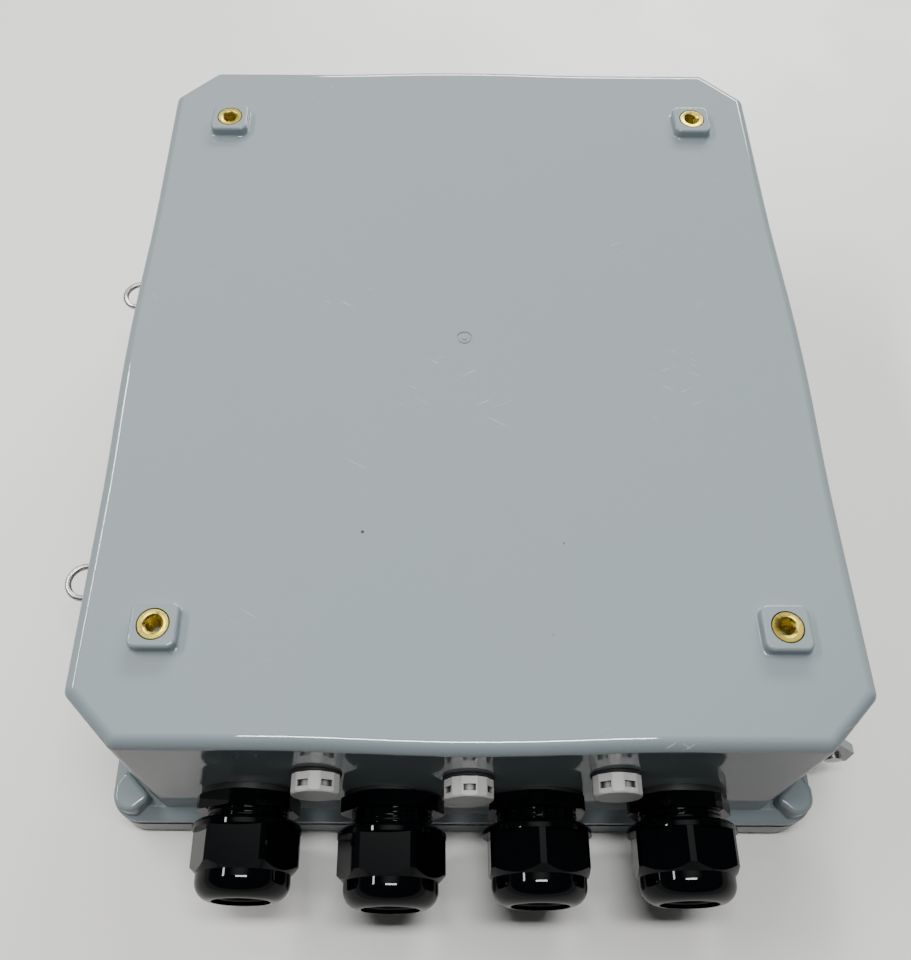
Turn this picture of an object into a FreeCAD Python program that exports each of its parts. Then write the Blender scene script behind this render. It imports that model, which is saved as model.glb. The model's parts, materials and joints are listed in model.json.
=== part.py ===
"""Fiber termination box: a hinged wall enclosure, lying face down on its door.

Every piece is drawn in the tub's frame: X across the box, Y along it towards the end away from the
cable glands, and Z up out of the back panel, whose outer face is Z = 0.  The last step moves the pieces
so that the origin is the centre of the four insert faces.  Lengths are in millimetres.
"""
import FreeCAD, Part
import math
import os
import re
import Sketcher

Vector = FreeCAD.Vector
Rotation = FreeCAD.Rotation
Placement = FreeCAD.Placement

SIZES = [
    # tub and flange
    ("tub_wide", 256.5), ("tub_long", 308), ("corner_cut", 17), ("corner_round", 3.5), ("wall", 3.2),
    ("back_round", 4), ("bow_end", 1.6), ("bow_end_half", 68), ("bow_side", 1.4), ("bow_side_half", 76),
    ("shoulder_deep", 85), ("edge_deep", 89), ("flange_deep", 92), ("flange_over", 4.2),
    ("flange_round", 11), ("tongue_deep", 95.2), ("lug_deep", 78), ("lug_round", 1.8),
    ("tub_offset", 1.3), ("gate_radius", 3),
    # bosses and threaded inserts
    ("boss_tall", 4.2), ("boss_wide", 15.6), ("boss_round", 2.8), ("insert_x", 101.6), ("insert_y", 117.5),
    ("insert_radius", 5.2), ("insert_gap", 0.25), ("insert_long", 9.5), ("insert_bore", 2.6),
    # door
    ("door_deep", 94.8), ("whole_deep", 108), ("door_plate", 3), ("door_round", 2.5),
    ("channel_deep", 99.5), ("channel_out", 1.5), ("channel_in", 4.5), ("door_rib_in", 7),
    ("gasket_top", 95.5), ("gasket_gap", 0.3),
    # hinge
    ("pin_x", 141.5), ("pin_deep", 83.5), ("pin_radius", 2), ("ear_thick", 3.5), ("ear_outer_y", 134.6),
    ("ear_inner_y", 103.5), ("knuckle_end_y", 120.2), ("knuckle_radius", 4),
    # cable glands
    ("gland_pitch", 50.3), ("gland_middle", -0.5), ("gland_deep", 61), ("seat_y", 156),
    ("body_flat", 33), ("body_tall", 5.2),
    ("nut_flat", 33.4), ("nut_y", 164.4), ("nut_radius", 18.9), ("nut_long", 25), ("dome_radius", 16.2),
    # breathers
    ("vent_deep", 30), ("vent_left", 50), ("vent_right", 48.5),
    # draw latches
    ("latch_y", 72.9), ("pivot_x", 135.5), ("pivot_deep", 80), ("bail_up", 6.94), ("bail_in", 0.9),
    ("bail_wire", 1.1), ("bail_half", 7.5), ("hook_deep", 100.2), ("staple_deep", 64),
    ("staple_wire", 1.25), ("staple_reach", 157.8), ("staple_half", 6.75), ("sheet_thick", 1.2),
    # inside
    ("plate_wide", 228), ("plate_long", 266), ("plate_deep", 13.2), ("plate_thick", 2),
    ("post_x", 100), ("post_y", 92), ("bend_thick", 1.5), ("rail_deep", 53.5),
    ("tray_pin_x", 38.5), ("tray_pin_deep", 24), ("tray_half", 35), ("tray_low_y", 28),
    ("tray_high_y", 118), ("tray_top_deep", 19), ("tray_open_deep", 29), ("adapter_pitch", 26),
]

doc = FreeCAD.newDocument("fiber_termination_box")
sheet = doc.addObject("Spreadsheet::Sheet", "Sizes")
for row, (alias, number) in enumerate(SIZES, start=1):
    sheet.set(f"A{row}", alias)
    sheet.set(f"B{row}", str(number))
    sheet.setAlias(f"B{row}", alias)
doc.recompute()

ALIASES = {alias for alias, number in SIZES}
WORD = re.compile(r"[a-z_]+\b(?!\()")
nodes = []


def size(alias):
    """A driving dimension, read from the sheet."""
    return float(sheet.get(alias))


def formula(text):
    """A sum of aliases and numbers, written the way the expression engine reads it."""
    return WORD.sub(lambda word: f"Sizes.{word[0]}" if word[0] in ALIASES else word[0], str(text))


def bind(item, **sums):
    for name, text in sums.items():
        item.setExpression(name, formula(text))
    return item


def move(item, x="0", y="0", z="0"):
    for axis, text in (("x", x), ("y", y), ("z", z)):
        item.setExpression(f"Placement.Base.{axis}", formula(text))
    return item


def finish(item, name, x="0", y="0", z="0"):
    """Names a sub-part and moves it from the tub's frame to the frame of the insert faces."""
    item.Label = name
    nodes.append(item)
    return move(item, x, f"{y} - tub_offset", f"{z} - boss_tall")


# ---- primitives ------------------------------------------------------------------------------------

TURNS = {
    "z": Rotation(),
    "-z": Rotation(Vector(1, 0, 0), 180),
    "x": Rotation(Vector(0, 1, 0), 90),
    "-x": Rotation(Vector(0, 1, 0), -90),
    "y": Rotation(Vector(1, 0, 0), -90),
    "-y": Rotation(Vector(1, 0, 0), 90),
}


def rod(radius, length, x="0", y="0", z="0", axis="z"):
    """A round bar that starts at the given point and runs along the axis."""
    item = doc.addObject("Part::Cylinder", "Rod")
    item.Placement = Placement(Vector(), TURNS[axis])
    bind(item, Radius=radius, Height=length)
    return move(item, x, y, z)


def block(low, high):
    """A box between two corners."""
    item = doc.addObject("Part::Box", "Block")
    spans = [f"({high[i]}) - ({low[i]})" for i in range(3)]
    bind(item, Length=spans[0], Width=spans[1], Height=spans[2])
    return move(item, *low)


def fuse(*pieces):
    item = doc.addObject("Part::MultiFuse", "Joined")
    item.Shapes = list(pieces)
    item.Refine = True
    return item


def group(*pieces):
    item = doc.addObject("Part::Compound", "Group")
    item.Links = list(pieces)
    return item


def cut(base, *tools):
    item = doc.addObject("Part::Cut", "Cut")
    item.Base = base
    item.Tool = tools[0] if len(tools) == 1 else group(*tools)
    item.Refine = True
    return item


def common(base, tool):
    item = doc.addObject("Part::Common", "Common")
    item.Base = base
    item.Tool = tool
    return item


def again(piece, x="0", y="0", z="0", spin=0, axis=Vector(0, 1, 0)):
    """One more instance of a piece, spun about its own axis and moved."""
    item = group(piece)
    item.Placement = Placement(Vector(), Rotation(axis, spin))
    return move(item, x, y, z)


def shape_of(name, shape):
    item = doc.addObject("Part::Feature", name)
    item.Shape = shape
    return item


def round_edges(base, radius, chosen):
    """Fillets the edges of the base that the test chooses."""
    doc.recompute()
    width = size(radius) if isinstance(radius, str) else radius
    item = doc.addObject("Part::Fillet", "Round")
    item.Base = base
    item.Edges = [(i, width, width) for i, edge in enumerate(base.Shape.Edges, start=1) if chosen(edge)]
    return item


def circle_at(radius, y):
    """Chooses the circular edges of a radius whose centre has this Y."""
    def chosen(edge):
        curve = edge.Curve
        round_edge = isinstance(curve, Part.Circle)
        return round_edge and abs(curve.Radius - radius) < 0.01 and abs(curve.Center.y - y) < 0.01
    return chosen


# ---- sketched bodies -------------------------------------------------------------------------------

def closed_sketch(body, plane, points, offset="0"):
    """A closed polygon whose corners are held by dimensions from the origin."""
    sketch = body.newObject("Sketcher::SketchObject", "Outline")
    role = [feature for feature in body.Origin.OriginFeatures if feature.Role == plane]
    sketch.AttachmentSupport = (role[0], [""])
    sketch.MapMode = "FlatFace"
    sketch.setExpression("AttachmentOffset.Base.z", formula(offset))
    count = len(points)
    corners = [Vector(20 * math.cos(2 * math.pi * i / count), 20 * math.sin(2 * math.pi * i / count), 0)
               for i in range(count)]
    for i in range(count):
        sketch.addGeometry(Part.LineSegment(corners[i], corners[(i + 1) % count]), False)
    for i in range(count):
        sketch.addConstraint(Sketcher.Constraint("Coincident", i, 2, (i + 1) % count, 1))
    for i, (across, up) in enumerate(points):
        for kind, text in (("DistanceX", across), ("DistanceY", up)):
            number = sketch.addConstraint(Sketcher.Constraint(kind, -1, 1, i, 1, 1.0))
            sketch.setExpression(f"Constraints[{number}]", formula(text))
    return sketch


def slab(plane, points, start, length, name="Slab"):
    """A polygon padded along its plane's normal, from start.  XZ pads run towards -Y."""
    body = doc.addObject("PartDesign::Body", name)
    sketch = closed_sketch(body, plane, points, start)
    pad = body.newObject("PartDesign::Pad", "Pad")
    pad.Profile = sketch
    bind(pad, Length=length)
    return body


def turned(points, name="Turned"):
    """A solid turned about Y.  Each point is a Y and a radius."""
    body = doc.addObject("PartDesign::Body", name)
    sketch = closed_sketch(body, "YZ_Plane", points)
    turn = body.newObject("PartDesign::Revolution", "Turn")
    turn.Profile = sketch
    turn.ReferenceAxis = (sketch, ["H_Axis"])
    turn.Angle = 360
    return body


def hexagon(flat, trim, start, length):
    """A hexagonal bar along -Y with its six corners cut to narrow facets `trim` wide."""
    half = flat / 2
    side = flat * math.tan(math.radians(30)) / 2 - trim / 2
    points = []
    for i in range(6):
        angle = math.radians(60 * i)
        for along in (-side, side):
            across = half * math.cos(angle) - along * math.sin(angle)
            up = half * math.sin(angle) + along * math.cos(angle)
            points.append((round(across, 4), round(up, 4)))
    return slab("XZ_Plane", points, start, length, "Hexagon")


# ---- outlines --------------------------------------------------------------------------------------

def bowed_side(start, end, half, rise):
    """The edges of a long side: straight ends and a middle that swells out in smooth arcs."""
    along = (end - start).normalize()
    outward = Vector(along.y, -along.x, 0)
    middle = (start + end) / 2
    radius = (rise ** 2 + half ** 2) / (4 * rise)
    dip = radius - math.sqrt(radius ** 2 - (half / 4) ** 2)

    def at(run, lift):
        return middle + along * run + outward * lift

    return [
        Part.LineSegment(start, at(-half, 0)).toShape(),
        Part.Arc(at(-half, 0), at(-0.75 * half, dip), at(-half / 2, rise / 2)).toShape(),
        Part.Arc(at(-half / 2, rise / 2), at(0, rise), at(half / 2, rise / 2)).toShape(),
        Part.Arc(at(half / 2, rise / 2), at(0.75 * half, dip), at(half, 0)).toShape(),
        Part.LineSegment(at(half, 0), end).toShape(),
    ]


def rounded_loop(corners, radii, bows=None):
    """A closed wire through rounded corners, anticlockwise.  bows gives the sides that swell out."""
    count = len(corners)
    ways = [(corners[(i + 1) % count] - corners[i]).normalize() for i in range(count)]
    starts, ends, arcs = [], [], []
    for i, corner in enumerate(corners):
        before, after = ways[i - 1], ways[i]
        half_turn = before.getAngle(after) / 2
        reach = radii[i] * math.tan(half_turn)
        inward = (after - before).normalize()
        middle = corner + inward * (radii[i] / math.cos(half_turn) - radii[i])
        ends.append(corner - before * reach)
        starts.append(corner + after * reach)
        arcs.append(middle)
    edges = []
    for i in range(count):
        following = (i + 1) % count
        if radii[i] > 0:
            edges.append(Part.Arc(ends[i], arcs[i], starts[i]).toShape())
        if bows and i in bows:
            edges += bowed_side(starts[i], ends[following], *bows[i])
        else:
            edges.append(Part.LineSegment(starts[i], ends[following]).toShape())
    return Part.Wire(edges)


def tub_loop(grow):
    """The tub's eight-sided outline, moved outward by `grow`."""
    across = size("tub_wide") / 2 + grow
    along = size("tub_long") / 2 + grow
    cut_off = size("corner_cut") + grow * (2 - math.sqrt(2))
    corners = [
        Vector(-across + cut_off, -along, 0), Vector(across - cut_off, -along, 0),
        Vector(across, -along + cut_off, 0), Vector(across, along - cut_off, 0),
        Vector(across - cut_off, along, 0), Vector(-across + cut_off, along, 0),
        Vector(-across, along - cut_off, 0), Vector(-across, -along + cut_off, 0),
    ]
    end_bow = (size("bow_end_half"), size("bow_end"))
    side_bow = (size("bow_side_half"), size("bow_side"))
    bows = {0: end_bow, 2: side_bow, 4: end_bow, 6: side_bow}
    return rounded_loop(corners, [max(size("corner_round") + grow, 0.5)] * 8, bows)


def flange_loop():
    across = size("tub_wide") / 2 + size("flange_over")
    along = size("tub_long") / 2 + size("flange_over")
    corners = [Vector(-across, -along, 0), Vector(across, -along, 0),
               Vector(across, along, 0), Vector(-across, along, 0)]
    return rounded_loop(corners, [size("flange_round")] * 4)


def bow_at(x):
    """How far the end wall swells out at this X."""
    half, rise = size("bow_end_half"), size("bow_end")
    radius = (rise ** 2 + half ** 2) / (4 * rise)
    run = abs(x)
    if run < half / 2:
        return rise - (radius - math.sqrt(radius ** 2 - run ** 2))
    return radius - math.sqrt(radius ** 2 - (half - run) ** 2)


def sink(loop, start, end, name="Prism"):
    """A prism of a loop between two depths below the back panel."""
    item = doc.addObject("Part::Extrusion", name)
    item.Base = loop
    item.DirMode = "Custom"
    item.Dir = Vector(0, 0, -1)
    item.Solid = True
    bind(item, LengthFwd=f"{end} - ({start})")
    return move(item, z=f"-({start})")


def ring_of(out_loop, in_loop, start, end):
    return cut(sink(out_loop, start, end), sink(in_loop, f"{start} - 1", f"{end} + 1"))


# ---- enclosure tub ---------------------------------------------------------------------------------

CORNERS = [(-1, -1), (1, -1), (1, 1), (-1, 1)]


def lug_loop(sign_x, sign_y):
    """The raised pad at one corner of the flange, drawn from the flange's own corner."""
    steps = [(6.3, 17, 2.3), (2.8, 11, 4), (2.8, 1.4, 6.5), (11, 1.4, 4), (17, 6.3, 2.3)]
    across = size("tub_wide") / 2 + size("flange_over")
    along = size("tub_long") / 2 + size("flange_over")
    if sign_x == sign_y:
        steps.reverse()
    corners = [Vector(sign_x * (across - u), sign_y * (along - v), 0) for u, v, radius in steps]
    corners.reverse()
    radii = [radius for u, v, radius in reversed(steps)]
    return rounded_loop(corners, radii)


def lug(sign_x, sign_y):
    pad = sink(shape_of("LugLoop", lug_loop(sign_x, sign_y)), "lug_deep", "flange_deep")
    top = -size("lug_deep")
    return round_edges(pad, "lug_round",
                       lambda edge: all(abs(vertex.Z - top) < 0.01 for vertex in edge.Vertexes))


def hinge_ear(side, face_y):
    """A moulded gusset that carries the hinge pin.  face_y is its face nearest the box's end."""
    points = [("tub_wide / 2 - 1", "-54"), ("138.9", "-67"), ("148.3", "-79"), ("148.9", "-90"),
              ("tub_wide / 2 - 1", "-90")]
    start = f"-{face_y}" if side > 0 else f"{face_y} - ear_thick"
    return slab("XZ_Plane", points, start, "ear_thick", "Ear")


def boss_loop(x, y):
    half = size("boss_wide") / 2
    corners = [Vector(x - half, y - half, 0), Vector(x + half, y - half, 0),
               Vector(x + half, y + half, 0), Vector(x - half, y + half, 0)]
    return rounded_loop(corners, [size("boss_round")] * 4)


def insert_places():
    for sign_x, sign_y in CORNERS:
        yield f"{sign_x} * insert_x", f"{sign_y} * insert_y + tub_offset"


def gland_places():
    return [(i + 1, f"{step} * gland_pitch + gland_middle") for i, step in enumerate((-1.5, -0.5, 0.5, 1.5))]


def vent_places():
    """Breather number, X, and the Y of the wall's outer face there."""
    places = [("-vent_left", -size("vent_left")), ("0", 0), ("vent_right", size("vent_right"))]
    for number, (x, x_now) in enumerate(places, start=1):
        yield number, x, f"-(tub_long / 2 + {bow_at(x_now):.3f})"


def latch_places():
    return [("lower", "-latch_y"), ("upper", "latch_y")]


# the rivets of a latch base: Y from its middle, and depth
RIVETS = [(-12, 55), (12, 55), (0, 76)]


def make_tub(outer_block):
    rounded = round_edges(outer_block, "back_round",
                          lambda edge: all(abs(vertex.Z) < 0.01 for vertex in edge.Vertexes))
    cavity_loop = shape_of("CavityLoop", tub_loop(-size("wall")))
    cavity = sink(cavity_loop, "wall", "tongue_deep + 1")
    shell = cut(rounded, cavity)

    slope = doc.addObject("Part::Chamfer", "Shoulder")
    slope.Base = sink(shape_of("FlangeLoop", flange_loop()), "shoulder_deep", "flange_deep")
    doc.recompute()
    top = -size("shoulder_deep")
    slope.Edges = [(i, size("edge_deep") - size("shoulder_deep"), size("flange_over"))
                   for i, edge in enumerate(slope.Base.Shape.Edges, start=1)
                   if all(abs(vertex.Z - top) < 0.01 for vertex in edge.Vertexes)]
    flange = cut(slope, sink(cavity_loop, "shoulder_deep - 1", "flange_deep + 1"))
    tongue = ring_of(shape_of("TongueOut", tub_loop(-0.7)), shape_of("TongueIn", tub_loop(-2.7)),
                     "flange_deep - 1", "tongue_deep")

    added, removed = [shell, flange, tongue], []
    added += [lug(sign_x, sign_y) for sign_x, sign_y in CORNERS]
    for side in (-1, 1):
        added.append(hinge_ear(side, "ear_outer_y"))
        added.append(hinge_ear(side, "ear_inner_y"))
        removed.append(rod("pin_radius + 0.02", "40", "pin_x", f"{side} * 117 - 20", "-pin_deep", "y"))
    for (sign_x, sign_y), (x, y) in zip(CORNERS, insert_places()):
        x_now = sign_x * size("insert_x")
        y_now = sign_y * size("insert_y") + size("tub_offset")
        boss = sink(shape_of("BossLoop", boss_loop(x_now, y_now)), "-boss_tall", "wall / 2")
        high = size("boss_tall")
        added.append(round_edges(boss, 1.0,
                                 lambda edge: all(abs(vertex.Z - high) < 0.01 for vertex in edge.Vertexes)))
        added.append(rod("8.5", "5", x, y, "-7.5"))
        removed.append(rod("insert_radius + insert_gap", "insert_long + 0.2", x, y,
                           "boss_tall - insert_long - 0.2"))
    for sign_x, sign_y in CORNERS:
        added.append(rod("6", "plate_deep - wall / 2", f"{sign_x} * post_x", f"{sign_y} * post_y",
                         "-plate_deep"))
        removed.append(rod("2", "plate_deep - wall - 1", f"{sign_x} * post_x", f"{sign_y} * post_y",
                           "-plate_deep"))
    for number, x in gland_places():
        removed.append(rod("12.6", "12", x, "-tub_long / 2 + wall + 5", "-gland_deep", "-y"))
    for number, x, y in vent_places():
        removed.append(rod("6.05", "12", x, "-tub_long / 2 + wall + 5", "-vent_deep", "-y"))
    for name, y in latch_places():
        for side_y, deep in RIVETS:
            removed.append(rod("1.65", "10", "-tub_wide / 2 + 5", f"{y} + {side_y}", f"-{deep}", "-x"))
    # the small round witness mark of the moulding gate
    removed.append(cut(rod("gate_radius", "1", "0", "tub_offset", "-0.35"),
                       rod("gate_radius - 0.7", "2", "0", "tub_offset", "-1")))
    gate_nub = rod("0.9", "1.3", "0", "tub_offset", "-1")
    finish(cut(fuse(*added, gate_nub), *removed), "enclosure_tub")


def make_inserts():
    """Brass nuts moulded into the bosses, flush with the boss faces."""
    low = "boss_tall - insert_long"
    insert = cut(rod("insert_radius", "insert_long", z=low),
                 rod("insert_bore", "insert_long + 2", z=f"{low} - 1"))
    finish(group(*[again(insert, x, y) for x, y in insert_places()]), "brass_inserts")


# ---- cable glands ----------------------------------------------------------------------------------

def make_glands(outer_block):
    body_turn = turned([("-137", "9.5"), ("-137", "12"), ("-138", "12.4"), ("-seat_y", "12.4"),
                        ("-seat_y", "14"), ("-174.5", "14"), ("-175.7", "12.9"), ("-181.2", "12.9"),
                        ("-181.2", "11.45"), ("-169", "11.45"), ("-169", "9.5")], "GlandBody")
    blank = turned([("-seat_y", "13"), ("-seat_y", "17.6"), ("-seat_y - 0.8", "18.9"),
                    ("-seat_y - body_tall + 0.8", "18.9"), ("-seat_y - body_tall", "17.6"),
                    ("-seat_y - body_tall", "13")])
    flange = common(blank, hexagon(size("body_flat"), 4, "seat_y", "body_tall"))
    body = fuse(body_turn, flange)

    end = "-nut_y - nut_long"
    shell = turned([("-nut_y", "14.25"), ("-nut_y", "17.6"), ("-nut_y - 0.9", "18.6"),
                    ("-nut_y - 1.4", "nut_radius"), ("-nut_y - 2.9", "nut_radius"),
                    ("-nut_y - 2.9", "dome_radius"), (end, "dome_radius"), (end, "10"),
                    ("-nut_y - 15.3", "14.25")], "NutShell")
    dome = round_edges(shell, 6.1, circle_at(size("dome_radius"), -size("nut_y") - size("nut_long")))
    nut_blank = turned([("-nut_y - 2.5", "15.5"), ("-nut_y - 2.5", "nut_radius"),
                        ("-nut_y - 14", "nut_radius"), ("-nut_y - 16.6", "dome_radius + 0.1"),
                        ("-nut_y - 16.6", "15.5")])
    flats = common(nut_blank, hexagon(size("nut_flat"), 2.4, "nut_y + 2.5", "14.1"))
    nut = fuse(dome, flats)

    seal = turned([("-170.2", "7.2"), ("-170.2", "11.2"), ("-183.1", "11.2"), ("-188", "9.5"),
                   ("-188", "6.9"), ("-186.5", "6.5"), ("-171.7", "6.5")], "GlandSeal")
    lock = cut(hexagon(32, 2, "145.6", "5"), rod("12.5", "20", y="-140", axis="-y"))

    # how far each hexagon is turned, and how far each nut is still unscrewed
    body_spins = (-8, 34, -2, -24)
    nut_spins = (26, 24, 0, -4)
    nut_moves = ("0", "-2.3", "-1", "-0.2")
    washers, locks = [], []
    for (number, x), body_spin, nut_spin, screwed in zip(gland_places(), body_spins, nut_spins, nut_moves):
        finish(again(body, spin=body_spin), f"gland_body_{number}", x, z="-gland_deep")
        finish(again(nut, spin=nut_spin), f"gland_nut_{number}", x, screwed, "-gland_deep")
        finish(again(seal), f"gland_seal_{number}", x, screwed, "-gland_deep")
        ring = cut(rod("17", "6", x, "-seat_y + 6", "-gland_deep", "-y"),
                   rod("12.6", "8", x, "-seat_y + 7", "-gland_deep", "-y"), outer_block)
        washers.append(ring)
        locks.append(again(lock, x, "0", "-gland_deep"))
    finish(group(*washers), "gland_washers")
    finish(group(*locks), "gland_locknuts")


# ---- breathers -------------------------------------------------------------------------------------

def make_vents(outer_block):
    """Pressure-balance plugs.  Drawn with the wall's outer face at Y = 0."""
    body = turned([("8.5", "3"), ("8.5", "5.5"), ("8", "5.95"), ("-1.3", "5.95"), ("-1.3", "7.1"),
                   ("-2.3", "7.1"), ("-2.3", "6.5"), ("-5.9", "6.5"), ("-5.9", "3.6"), ("-4.4", "3.6"),
                   ("-4.4", "3")], "VentBody")
    blank = turned([("-1.2", "7.2"), ("-1.2", "8.2"), ("-6.85", "8.2"), ("-7.4", "7.6"),
                    ("-7.4", "0"), ("-6.2", "0"), ("-6.2", "6.75"), ("-2.5", "6.75"), ("-2.5", "7.2")],
                   "CapBlank")
    hollow = common(blank, hexagon(15.7, 4, "1.2", "6.2"))
    windows = []
    for i in range(6):
        window = block(("-2", "-5.7", "6"), ("2", "-3.6", "12"))
        windows.append(again(window, spin=60 * i + 30))
    cap = cut(hollow, *windows)
    seal = rod("8.5", "1.2", axis="-y")
    soft = round_edges(seal, 0.55, lambda edge: isinstance(edge.Curve, Part.Circle))
    ring = cut(soft, rod("6", "4", y="1", axis="-y"))
    lock = cut(hexagon(16, 1, "-7.4", "4"), rod("6", "12", y="10", axis="-y"))
    film = rod("3.5", "0.4", y="-4.5", axis="-y")
    bodies, rings, locks, films = [], [], [], []
    for (number, x, y), spin in zip(vent_places(), (3, 30, -7.5)):
        bodies.append(again(body, x, y, "-vent_deep"))
        finish(again(cap, spin=spin), f"vent_cap_{number}", x, y, "-vent_deep")
        rings.append(cut(again(ring, x, y, "-vent_deep"), outer_block))
        locks.append(again(lock, x, y, "-vent_deep"))
        films.append(again(film, x, y, "-vent_deep"))
    finish(group(*bodies), "vent_bodies")
    finish(group(*rings), "vent_o_rings")
    finish(group(*locks), "vent_locknuts")
    finish(group(*films), "vent_membranes")


# ---- door ------------------------------------------------------------------------------------------

def make_door():
    low = -size("whole_deep")
    plate = round_edges(sink(shape_of("DoorLoop", flange_loop()), "door_deep", "whole_deep"), "door_round",
                        lambda edge: all(abs(vertex.Z - low) < 0.01 for vertex in edge.Vertexes))
    channel = ring_of(shape_of("ChannelOut", tub_loop(size("channel_out"))),
                      shape_of("ChannelIn", tub_loop(-size("channel_in"))),
                      "door_deep - 1", "channel_deep")
    cavity = sink(shape_of("DoorCavity", tub_loop(-size("door_rib_in"))), "door_deep - 1",
                  "whole_deep - door_plate")
    recess = sink(shape_of("DoorRecess", tub_loop(-14)), "whole_deep - 0.8", "whole_deep + 1")
    panel = cut(plate, channel, cavity, recess)
    leaf = [("137.5", "-pin_deep"), ("137.5", "-95.2"), ("131.5", "-95.2"), ("131.5", "-104"),
            ("139", "-104"), ("145.5", "-96"), ("145.5", "-pin_deep")]
    added, removed = [panel], []
    for side in (-1, 1):
        start = "-knuckle_end_y" if side > 0 else "ear_inner_y + 0.3"
        low_y = "ear_inner_y + 0.3" if side > 0 else "-knuckle_end_y"
        added.append(slab("XZ_Plane", leaf, start, "knuckle_end_y - ear_inner_y - 0.3", "Knuckle"))
        added.append(rod("knuckle_radius", "knuckle_end_y - ear_inner_y - 0.3", "pin_x", low_y,
                         "-pin_deep", "y"))
        removed.append(rod("pin_radius + 0.1", "30", "pin_x", f"{side} * 112 - 15", "-pin_deep", "y"))
        for offset in (-10.5, 10.5):
            removed.append(rod("1.5", "9", "-tub_wide / 2 + 1.5", f"{side} * latch_y + {offset}",
                               "-101.5", "-x"))
    finish(cut(fuse(*added), *removed), "door_panel")

    gasket = ring_of(shape_of("GasketOut", tub_loop(size("channel_out") - size("gasket_gap"))),
                     shape_of("GasketIn", tub_loop(-size("channel_in") + size("gasket_gap"))),
                     "gasket_top", "channel_deep")
    finish(gasket, "door_gasket")


def make_hinge_pins():
    shank = rod("pin_radius", "36.2", y="-18.5", axis="y")
    head = rod("pin_radius + 1.2", "1.4", y="17.7", axis="y")
    pin = fuse(shank, head)
    finish(again(pin), "hinge_pin_upper", "pin_x", "117", "-pin_deep")
    finish(again(pin, spin=180, axis=Vector(0, 0, 1)), "hinge_pin_lower", "pin_x", "-117", "-pin_deep")


# ---- draw latches ----------------------------------------------------------------------------------

def bent_wire(points, bend, radius, name):
    """A round wire along straight runs that meet in tangent bends."""
    edges = []
    last = points[0]
    for before, corner, after in zip(points, points[1:], points[2:]):
        back = (before - corner).normalize()
        onward = (after - corner).normalize()
        half_open = back.getAngle(onward) / 2
        reach = bend / math.tan(half_open)
        inward = (back + onward).normalize()
        start, end = corner + back * reach, corner + onward * reach
        middle = corner + inward * (bend / math.sin(half_open) - bend)
        edges.append(Part.LineSegment(last, start).toShape())
        edges.append(Part.Arc(start, middle, end).toShape())
        last = end
    edges.append(Part.LineSegment(last, points[-1]).toShape())
    path = Part.Wire(edges)
    way = (points[1] - points[0]).normalize()
    section = Part.Wire(Part.Circle(points[0], way, radius).toShape())
    return shape_of(name, path.makePipeShell([section], True, False))


def wire_staple():
    """The padlock loop: two legs out of the base and a half-round end."""
    half, tip = size("staple_half"), -size("staple_reach") + size("staple_wire")
    deep = -size("staple_deep")
    root_x, turn_x = -size("tub_wide") / 2 - 1.7, tip + half
    edges = [
        Part.LineSegment(Vector(root_x, -half, deep), Vector(turn_x, -half, deep)).toShape(),
        Part.Arc(Vector(turn_x, -half, deep), Vector(tip, 0, deep), Vector(turn_x, half, deep)).toShape(),
        Part.LineSegment(Vector(turn_x, half, deep), Vector(root_x, half, deep)).toShape(),
    ]
    circle = Part.Circle(Vector(root_x, -half, deep), Vector(1, 0, 0), size("staple_wire"))
    section = Part.Wire(circle.toShape())
    return shape_of("Staple", Part.Wire(edges).makePipeShell([section], True, False))


def latch_base():
    back = block(("-tub_wide / 2 - 1.7", "-15.5", "-84.8"), ("-tub_wide / 2 - 0.2", "15.5", "-50"))
    cheek = [("-tub_wide / 2 - 1", "-84.8"), ("-pivot_x", "-84.8"), ("-138.4", "-83.4"),
             ("-139.8", "-80"), ("-139.3", "-76.8"), ("-134", "-73.2"), ("-tub_wide / 2 - 1", "-69")]
    ears = [slab("XZ_Plane", cheek, start, "1.4", "Cheek") for start in ("11.9", "-13.3")]
    holes = [rod("1.5", "40", "-pivot_x", "-20", "-pivot_deep", "y")]
    holes += [rod("1.6", "8", "-tub_wide / 2 + 2", f"{y}", f"-{deep}", "-x") for y, deep in RIVETS]
    return cut(fuse(back, *ears), *holes)


def latch_lever():
    """A forked lever: two cheeks on the pivot and a slotted face that the staple comes through."""
    cheek = [("-133.2", "-83.2"), ("-132.1", "-80"), ("-132.6", "-68"), ("-138.8", "-62"),
             ("-139.8", "-62"), ("-139.8", "-76"), ("-138.6", "-83.2")]
    cheeks = [slab("XZ_Plane", cheek, start, "sheet_thick", "Cheek") for start in ("9.9", "-11.1")]
    face = block(("-139.8", "-11.1", "-71.8"), ("-138.6", "11.1", "-46"))
    lip = slab("XZ_Plane", [("-138.6", "-46.2"), ("-139.8", "-46.2"), ("-141.1", "-43.8"),
                            ("-140.1", "-43.2")], "-11.1", "22.2", "Lip")
    slot = block(("-143", "-staple_half - 1.8", "-65.7"), ("-137", "staple_half + 1.8", "-51.3"))
    holes = [rod("1.6", "40", "-pivot_x", "-20", "-pivot_deep", "y"),
             rod("bail_wire + 0.08", "40", "-pivot_x + bail_in", "-20", "-pivot_deep + bail_up", "y")]
    return cut(fuse(face, lip, *cheeks), slot, *holes)


def latch_bail():
    top = (-size("pivot_x") + size("bail_in"), -size("pivot_deep") + size("bail_up"))
    low = (-size("pivot_x"), -size("hook_deep"))
    half = size("bail_half")
    points = [Vector(top[0], -11.2, top[1]), Vector(top[0], -half, top[1]), Vector(low[0], -half, low[1]),
              Vector(low[0], half, low[1]), Vector(top[0], half, top[1]), Vector(top[0], 11.2, top[1])]
    return bent_wire(points, 1.6, size("bail_wire"), "Bail")


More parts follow.
